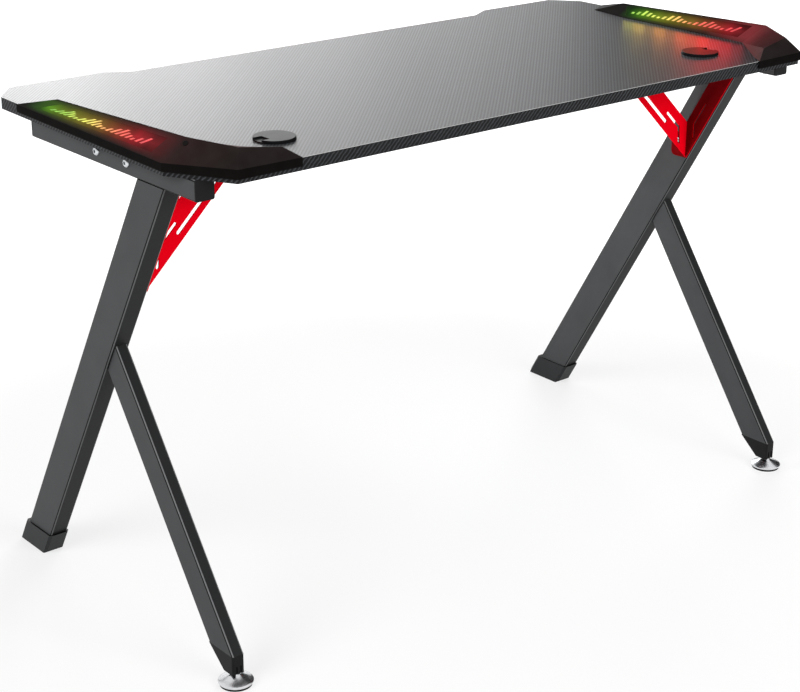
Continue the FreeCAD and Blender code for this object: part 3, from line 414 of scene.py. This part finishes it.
# The last three colours of each coat are its painted corner highlight and its painted shade on faces along and
# across the frame; the brace's wide faces are darker as painted shade under the board
FRAME_COAT = powder_coat("black_powder_coat", "#404142", "#464748", "#6c6d6e", "#949494", "#ffffff", 0.45, 0.1)
BRACE_COAT = powder_coat("red_powder_coat", "#fb0018", "#ff001c", "#ff1426", "#ffffff", "#707070", 0.5, 0.03)
COVER_ABS = lit_cover()
NYLON = moulded_plastic("moulded_nylon", "#151516", "#1b1b1c", 0.45, 0.1, 1.2 * MM)
CAP_PLASTIC = shoe_plastic()
GROMMET_ABS = moulded_plastic("moulded_grommet_abs", "#0e0e0f", "#131314", 0.42, 0.09, 1.5 * MM)
CHROME = plated_metal("satin_chrome_plate", "#d4d5d8", "#e0e1e3", 0.22, 0.6 * MM, 0.001 * MM)
ZINC = plated_metal("zinc_plated_steel", "#b9bcc0", "#d2d4d6", 0.22, 0.5 * MM, 0.01 * MM)
BRASS = plated_metal("turned_brass", "#b08a3e", "#c9a452", 0.25, 0.4 * MM, 0.01 * MM)
RUBBER = pad_rubber()
STRIP = circuit_board()
CHIP = plated_metal("light_chip_case", "#c8c4a0", "#e0dcc0", 0.4, 0.5 * MM, 0.01 * MM)
BUTTON = moulded_plastic("polished_button_abs", "#0a0808", "#100b0b", 0.3, 0.08, 0.8 * MM)
OUTER_LENS = glowing_lens("smoked_acrylic_outer", OUTER_SLOPE, *OUTER_WINDOW)
INNER_LENS = glowing_lens("smoked_acrylic_inner", INNER_SLOPE, *INNER_WINDOW)
INLAY_RUN = (-0.135, 0.135)
INLAY = lit_inlay(*INLAY_RUN)

FINISHES = {
    "desktop_core": CORE, "desktop_film": FILM, "desktop_edge_band": BAND, "cross_beam": FRAME_COAT,
    "light_button": BUTTON, "button_switch": NYLON}
PAIRED_FINISHES = {
    "cover": COVER_ABS, "outer_lens": OUTER_LENS, "inner_lens": INNER_LENS, "light_strip": STRIP,
    "light_chips": CHIP, "cover_screws": ZINC, "grommet_sleeve": GROMMET_ABS, "grommet_lid": GROMMET_ABS,
    "top_rail": FRAME_COAT, "rail_front_plug": NYLON, "rail_rear_plug": NYLON, "rail_screws": ZINC,
    "long_leg": FRAME_COAT, "short_leg": FRAME_COAT, "front_foot_cap": CAP_PLASTIC,
    "rear_foot_plug": NYLON, "foot_insert": BRASS, "foot_stud": ZINC, "foot_dish": CHROME,
    "foot_pad": RUBBER, "beam_plate": FRAME_COAT, "beam_bolts": ZINC, "beam_nuts": ZINC,
    "brace": BRACE_COAT, "brace_leg_screw": ZINC, "brace_beam_screws": ZINC}
for side, _ in SIDES:
    for piece, finish in PAIRED_FINISHES.items():
        FINISHES[side + "_" + piece] = finish
for name, finish in FINISHES.items():
    slots = nodes[name].data.materials
    slots.clear()
    slots.append(finish)


# Pieces

def placed(name, bm, finish):
    """Makes an object of a finished bmesh and puts it in the scene."""
    mesh = bpy.data.meshes.new(name)
    bm.to_mesh(mesh)
    bm.free()
    mesh.materials.append(finish)
    made = bpy.data.objects.new(name, mesh)
    bpy.context.scene.collection.objects.link(made)
    return made


def keep_piece(name, bm, finish, body, smooth=True):
    """Makes a piece of a finished bmesh and lets it ride on a body."""
    sharp_angle = math.radians(35)
    piece = placed(name, bm, finish)
    if smooth:
        piece.data.shade_smooth()
        piece.data.set_sharp_from_angle(angle=sharp_angle)
    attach(piece, body)
    return piece


def turn_profile(bm, profile, steps):
    """Spins an open profile of (radius, height) points round Z; returns the new vertices."""
    before = set(bm.verts)
    row = [bm.verts.new((radius, 0, height)) for radius, height in profile]
    edges = [bm.edges.new(pair) for pair in zip(row[:-1], row[1:])]
    bmesh.ops.spin(bm, geom=row + edges, axis=(0, 0, 1), cent=(0, 0, 0), angle=2 * math.pi, steps=steps,
                   use_merge=True)
    made = [v for v in bm.verts if v not in before]
    bmesh.ops.remove_doubles(bm, verts=made, dist=WELD)
    return [v for v in bm.verts if v not in before]


# Sizes of a screw with a button head in metres, its head's round side as shares of its radius and height, and the
# socket's floor as a share of that height
Screw = namedtuple("Screw", "shank_radius reach head_radius head_height key_width")
BUTTON_HEAD = ((1.0, 0.0), (1.0, 0.3), (0.93, 0.62), (0.78, 0.86), (0.6, 1.0))
KEY_FLOOR = 0.3
SCREW_STEPS = 24


def turned_screw(bm, start, direction, screw):
    """Button-head screw with a six-sided socket; its head's underside is at start."""
    shank_radius, reach, head_radius, head_height, key_width = screw
    key_radius = key_width / math.sqrt(3)
    key_floor = KEY_FLOOR * head_height
    tip_chamfer = 0.2 * shank_radius
    dome = [(out * head_radius, up * head_height) for out, up in BUTTON_HEAD]
    profile = ([(0.0, -reach), (shank_radius - tip_chamfer, -reach), (shank_radius, tip_chamfer - reach),
                (shank_radius, 0.0)] + dome
               + [(key_radius, head_height), (key_radius, key_floor), (0.0, key_floor - 0.2 * key_radius)])
    made = turn_profile(bm, profile, SCREW_STEPS)
    # the socket's round wall is drawn in to six flats
    half_side = math.pi / 6
    for vert in made:
        radius = math.hypot(vert.co.x, vert.co.y)
        if vert.co.z >= key_floor - WELD and abs(radius - key_radius) < WELD:
            turn = math.atan2(vert.co.y, vert.co.x) % (2 * half_side) - half_side
            flat = math.cos(half_side) / math.cos(turn)
            vert.co.x *= flat
            vert.co.y *= flat
    aim = Vector((0, 0, -1)).rotation_difference(direction).to_matrix().to_4x4()
    bmesh.ops.transform(bm, matrix=Matrix.Translation(start) @ aim, verts=made)


def screw_set(node, places, direction, screw):
    """One piece of like screws that stands for a node of the solids."""
    bm = bmesh.new()
    for place in places:
        turned_screw(bm, Vector(place), Vector(direction), screw)
    bmesh.ops.recalc_face_normals(bm, faces=bm.faces)
    piece = keep_piece(node + "_turned", bm, ZINC, "desk")
    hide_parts(node)


# Screws, where the solids have them
BEAM_BOLT = Screw(4 * MM, 42 * MM, 6.5 * MM, 4.5 * MM, 5 * MM)
RAIL_SCREW = Screw(3 * MM, 41 * MM, 5.5 * MM, 3.5 * MM, 4 * MM)
BRACE_SCREW = Screw(2.5 * MM, 12 * MM, 4.5 * MM, 3 * MM, 3 * MM)
BOLT_OFFSET = 39.25 * MM
BOLT_DROP = 30 * MM
RAIL_SCREW_ROW = (-0.150, -0.030, 0.215)
BRACE_SCREW_OFFSET = 15 * MM
BEAM_CENTRE_Y = sum(c.y for c in map(Vector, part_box("cross_beam"))) / 2
for side, way in SIDES:
    bolt_places = [(way * RAIL_OUTER, BEAM_CENTRE_Y + offset, BOARD_TOP - BOLT_DROP)
                   for offset in (-BOLT_OFFSET, BOLT_OFFSET)]
    screw_set(side + "_beam_bolts", bolt_places, (-way, 0, 0), BEAM_BOLT)
    rail_places = [(way * LEG_MIDDLE, y, RAIL_BOTTOM) for y in RAIL_SCREW_ROW]
    screw_set(side + "_rail_screws", rail_places, (0, 0, 1), RAIL_SCREW)
    low, high = (Vector(c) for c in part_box(side + "_brace_leg_screw"))
    middle = (low + high) / 2
    seat = middle.x + way * (BRACE_SCREW.head_height - BRACE_SCREW.reach) / 2
    screw_set(side + "_brace_leg_screw", [(seat, middle.y, middle.z)], (way, 0, 0), BRACE_SCREW)
    low, high = (Vector(c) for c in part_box(side + "_brace_beam_screws"))
    middle = (low + high) / 2
    beam_places = [(middle.x + offset, high.y - BRACE_SCREW.head_height, middle.z)
                   for offset in (-BRACE_SCREW_OFFSET, BRACE_SCREW_OFFSET)]
    screw_set(side + "_brace_beam_screws", beam_places, (0, -1, 0), BRACE_SCREW)

# Radius and height in mm round the foot dish's wall: under it, round the rim, up the dome, over the hub and back
DISH_PROFILE = (
    (4.0, 0.0), (22.6, 0.0), (24.0, 0.35), (25.1, 1.0), (25.75, 1.8), (26.0, 2.7), (25.8, 3.5), (25.2, 4.15),
    (24.2, 4.7), (20.0, 6.3), (14.0, 8.9), (9.4, 11.2), (7.6, 12.3), (6.75, 13.1), (6.5, 13.8), (6.5, 14.7),
    (6.3, 15.0), (4.0, 15.0), (4.0, 0.0))
DISH_STEPS = 64


def levelling_dish(side):
    """Spun and plated foot dish: a shallow dome with a rolled rim and a round hub."""
    low, high = (Vector(c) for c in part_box(side + "_foot_dish"))
    middle = (low + high) / 2
    bm = bmesh.new()
    made = turn_profile(bm, [(radius * MM, height * MM) for radius, height in DISH_PROFILE], DISH_STEPS)
    bmesh.ops.transform(bm, matrix=Matrix.Translation((middle.x, middle.y, low.z)), verts=made)
    bmesh.ops.recalc_face_normals(bm, faces=bm.faces)
    piece = keep_piece(side + "_dish_spun", bm, CHROME, side + "_foot_screw")
    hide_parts(side + "_foot_dish")


for side, _ in SIDES:
    levelling_dish(side)

# Bars of light in the windows. How far a bar leans along the slope for its rise up it, as shares of the slope,
# how far it stands out of the lens, and its thickness
BAR_LEAN = 0.1
BAR_PROUD = 0.25 * MM
BAR_THICKNESS = 0.4 * MM
# Heights of the bars along a window, like a row of level meters, and the share of the pitch each bar fills
BAR_HEIGHTS = (0.35, 0.6, 1.0, 0.75, 0.45, 0.3, 0.55, 0.9, 1.0, 0.65, 0.4, 0.3, 0.5, 0.8, 1.0, 0.7, 0.5, 0.3,
               0.6, 0.9)
BAR_FILL = 0.45
# First and last place along each slope, and the foot and top of its tallest bar, as shares of the slope
OUTER_BARS = (0.12, 0.80, 0.34, 0.64)
INNER_BARS = (0.03, 0.84, 0.40, 0.73)
# Ways that the right cover's slopes look
OUTER_FACING = Vector((1, 0, 1.4))
INNER_FACING = Vector((-1, 0, 1.4))


def on_slope(slope, along, up):
    """Point at a share along a slope and a share up it."""
    low = slope[0].lerp(slope[1], along)
    high = slope[2].lerp(slope[3], along)
    return low.lerp(high, up)


def lit_bars(name, slope, rows, way, outward):
    """Slanted bars let into a lens; each row is start, length, low edge and high edge as shares of the slope."""
    bm = bmesh.new()
    for start, length, low, high in rows:
        made = bmesh.ops.create_grid(bm, x_segments=2, y_segments=2, size=0.5)["verts"]
        for vert in made:
            rise = low + (vert.co.y + 0.5) * (high - low)
            along = start + (vert.co.x + 0.5) * length + BAR_LEAN * rise
            vert.co = on_slope(slope, along, rise)
    bmesh.ops.recalc_face_normals(bm, faces=bm.faces)
    for face in bm.faces:
        if face.normal.dot(outward) < 0:
            face.normal_flip()
    bmesh.ops.translate(bm, vec=outward.normalized() * BAR_PROUD, verts=bm.verts)
    bmesh.ops.solidify(bm, geom=bm.faces, thickness=BAR_THICKNESS)
    if way < 0:
        bmesh.ops.scale(bm, vec=(-1, 1, 1), verts=bm.verts)
    bmesh.ops.recalc_face_normals(bm, faces=bm.faces)
    keep_piece(name, bm, INLAY, "desk", smooth=False)


def bars_between(first, last, low, high):
    """Bars that stand on one line, evenly spaced between two shares of the slope's length."""
    pitch = (last - first) / len(BAR_HEIGHTS)
    return [(first + i * pitch, BAR_FILL * pitch, low, low + height * (high - low))
            for i, height in enumerate(BAR_HEIGHTS)]


for side, way in SIDES:
    lit_bars(side + "_outer_bars", OUTER_SLOPE, bars_between(*OUTER_BARS), way, OUTER_FACING)
    lit_bars(side + "_inner_bars", INNER_SLOPE, bars_between(*INNER_BARS), way, INNER_FACING)


# Stage

def seen_rays(tree):
    """1 for rays that see the studio straight, in a mirror or through glass, and 0 for rays that light a surface."""
    rays = add(tree, "ShaderNodeLightPath")
    seen = add(tree, "ShaderNodeMath", {0: rays.outputs["Is Camera Ray"], 1: rays.outputs["Is Glossy Ray"]},
               operation="MAXIMUM").outputs[0]
    return add(tree, "ShaderNodeMath", {0: seen, 1: rays.outputs["Is Transmission Ray"]},
               operation="MAXIMUM").outputs[0]


def white_world():
    """White for the camera and in reflections, softer as light on the object."""
    soft = 0.22
    world = bpy.data.worlds.new("studio_white")
    world.use_nodes = True
    bpy.context.scene.world = world
    tree = world.node_tree
    tree.nodes.clear()
    seen = seen_rays(tree)
    strength = add(tree, "ShaderNodeMapRange", {"Value": seen, "To Min": soft, "To Max": 1.0}).outputs[0]
    sky = add(tree, "ShaderNodeBackground", {"Color": srgb("#ffffff"), "Strength": strength})
    add(tree, "ShaderNodeOutputWorld", {"Surface": sky.outputs[0]})


def studio_floor():
    """Pale floor that keeps the soft shadow under the desk and goes to white away from it."""
    half_width = 9.0
    shadow_reach, white_reach = 0.8, 1.7
    shadow_lift, white_lift = 0.69, 1.0
    bm = bmesh.new()
    bmesh.ops.create_grid(bm, x_segments=2, y_segments=2, size=half_width)
    finish, tree, shader = new_finish("pale_floor", Roughness=0.9, Base_Color=srgb("#8c8c8c"),
                                      Specular_IOR_Level=0.0, Emission_Color=srgb("#ffffff"))
    place = add(tree, "ShaderNodeTexCoord").outputs["Object"]
    away = add(tree, "ShaderNodeVectorMath", {0: place}, operation="LENGTH").outputs["Value"]
    white = add(tree, "ShaderNodeMapRange", {"Value": away, "From Min": shadow_reach, "From Max": white_reach,
                                             "To Min": shadow_lift, "To Max": white_lift},
                interpolation_type="SMOOTHSTEP").outputs[0]
    lift = add(tree, "ShaderNodeMath", {0: seen_rays(tree), 1: white}, operation="MULTIPLY").outputs[0]
    tree.links.new(lift, shader.inputs["Emission Strength"])
    floor = placed("studio_floor", bm, finish)


def dark_flag(name, x, y0, y1, z0, z1):
    """Upright dark cloth that only reflections see: it gives the plating and the board's sheen a dark side."""
    bm = bmesh.new()
    made = bmesh.ops.create_grid(bm, x_segments=2, y_segments=2, size=0.5)["verts"]
    for vert in made:
        vert.co = Vector((x, y0 + (y1 - y0) * (vert.co.x + 0.5), z0 + (z1 - z0) * (vert.co.y + 0.5)))
    finish, _, _ = new_finish("black_cloth", Roughness=1.0, Specular_IOR_Level=0.0, Base_Color=srgb("#343434"))
    flag = placed(name, bm, finish)
    flag.visible_camera = False
    flag.visible_diffuse = False
    flag.visible_transmission = False
    flag.visible_shadow = False


def soft_box(name, place, aim, width, height, watts, colour="#ffffff", mirrored=True):
    """Soft lamp that faces a point; one that isn't mirrored leaves no sheen on the board."""
    lamp = bpy.data.lights.new(name, "AREA")
    lamp.shape = "RECTANGLE"
    lamp.size = width
    lamp.size_y = height
    lamp.energy = watts
    lamp.color = srgb(colour)[:3]
    box = bpy.data.objects.new(name, lamp)
    box.location = place
    box.rotation_euler = (Vector(aim) - Vector(place)).to_track_quat("-Z", "Y").to_euler()
    box.visible_camera = False
    box.visible_glossy = mirrored
    bpy.context.scene.collection.objects.link(box)
    return box


def photo_camera():
    """Camera at the photograph's place, behind and to the right of the desk, a little above it."""
    place = Vector((1.8278, 2.1559, 1.3912))
    back = Vector((0.58770, 0.72594, 0.35721)).normalized()
    right = Vector((-0.77722, 0.62923, 0.0)).normalized()
    up = back.cross(right)
    lens = bpy.data.cameras.new("photo_camera")
    lens.sensor_fit = "HORIZONTAL"
    lens.sensor_width = 36.0
    lens.lens = 82.16
    lens.shift_x = 0.02466
    lens.shift_y = -0.0169
    camera = bpy.data.objects.new("photo_camera", lens)
    turn = Matrix((right, up, back)).transposed().to_4x4()
    camera.matrix_world = Matrix.Translation(place) @ turn
    bpy.context.scene.collection.objects.link(camera)
    bpy.context.scene.camera = camera


# Flags: place along X, and both ends along Y and Z
FLAGS = {"far_flag": (-3.2, -2.8, 1.6, 0.0, 2.6), "end_flag": (-0.70, -0.10, 0.36, 0.80, 1.05)}

# Boxes that light the desk and leave no sheen on the board: place, aim, width and height in m, and watts
LIGHT_BOXES = {
    "key_box": ((5.5, 0.7, 3.2), (0, 0, 0.45), 3.8, 3.8, 300),
    "other_side_box": ((-4.6, -3.8, 1.7), (0, 0, 0.45), 3.0, 2.0, 330),
    "under_box": ((0.40, -0.55, 0.45), (-0.575, 0.0, 0.45), 0.5, 0.3, 2.4),
    "fill_box": ((-0.4, 3.6, 1.8), (0, 0, 0.5), 2.5, 1.0, 98)}
# Kept narrow, so that the low box throws no edge of light on the floor
UNDER_SPREAD = math.radians(80)

# Row of boxes in front of the desk that the board mirrors to the camera: place along X in m, and watts
SHEEN_ROW = ((-0.75, 13.5), (-1.30, 9.2), (-1.85, 5.8), (-2.40, 3.1), (-2.95, 1.8), (-3.50, 1.7))
SHEEN_Y = -2.8
SHEEN_Z = 1.5
SHEEN_WIDTH = 0.55
SHEEN_HEIGHT = 1.2

# The strips' own light, mirrored in the board beside each inner window: place along Y, colour, height in mm and
# strength of each patch, from yellow at the front to red at the rear
WINDOW_GLOW = (
    (-0.070, "#b8b03c", 20, 1.6), (-0.045, "#d0a838", 24, 2.2), (-0.020, "#d89830", 26, 1.0),
    (0.005, "#e08c30", 30, 2.2), (0.030, "#e07828", 34, 1.2), (0.055, "#f06024", 38, 2.2),
    (0.080, "#f84820", 44, 2.0), (0.105, "#ff2c1c", 48, 2.8), (0.130, "#ff2020", 50, 1.8),
    (0.155, "#ff1c28", 48, 1.4), (0.180, "#ff1c30", 40, 0.6))
PATCH_X = 0.540
PATCH_WIDTH = 25 * MM
PATCH_GAP = 5 * MM
PATCH_RADIANCE = 2.0

white_world()
studio_floor()
for name, ends in FLAGS.items():
    dark_flag(name, *ends)
lamps = {name: soft_box(name, *values, mirrored=False) for name, values in LIGHT_BOXES.items()}
lamps["under_box"].data.spread = UNDER_SPREAD
for number, (x, watts) in enumerate(SHEEN_ROW):
    soft_box("sheen_box_%d" % number, (x, SHEEN_Y, SHEEN_Z), (x, 0.0, SHEEN_Z), SHEEN_WIDTH, SHEEN_HEIGHT, watts)
for side, way in SIDES:
    for y, colour, height, strength in WINDOW_GLOW:
        tall = height * MM
        lamp_place = Vector((way * PATCH_X, y, BOARD_TOP + PATCH_GAP + tall / 2))
        watts = PATCH_RADIANCE * strength * math.pi * PATCH_WIDTH * tall
        inward = Vector((-way, 0, 0))
        glow = soft_box(side + "_strip_glow", lamp_place, lamp_place + inward, PATCH_WIDTH, tall, watts, colour)
        glow.visible_diffuse = False
photo_camera()
bpy.context.scene.view_settings.view_transform = "Standard"
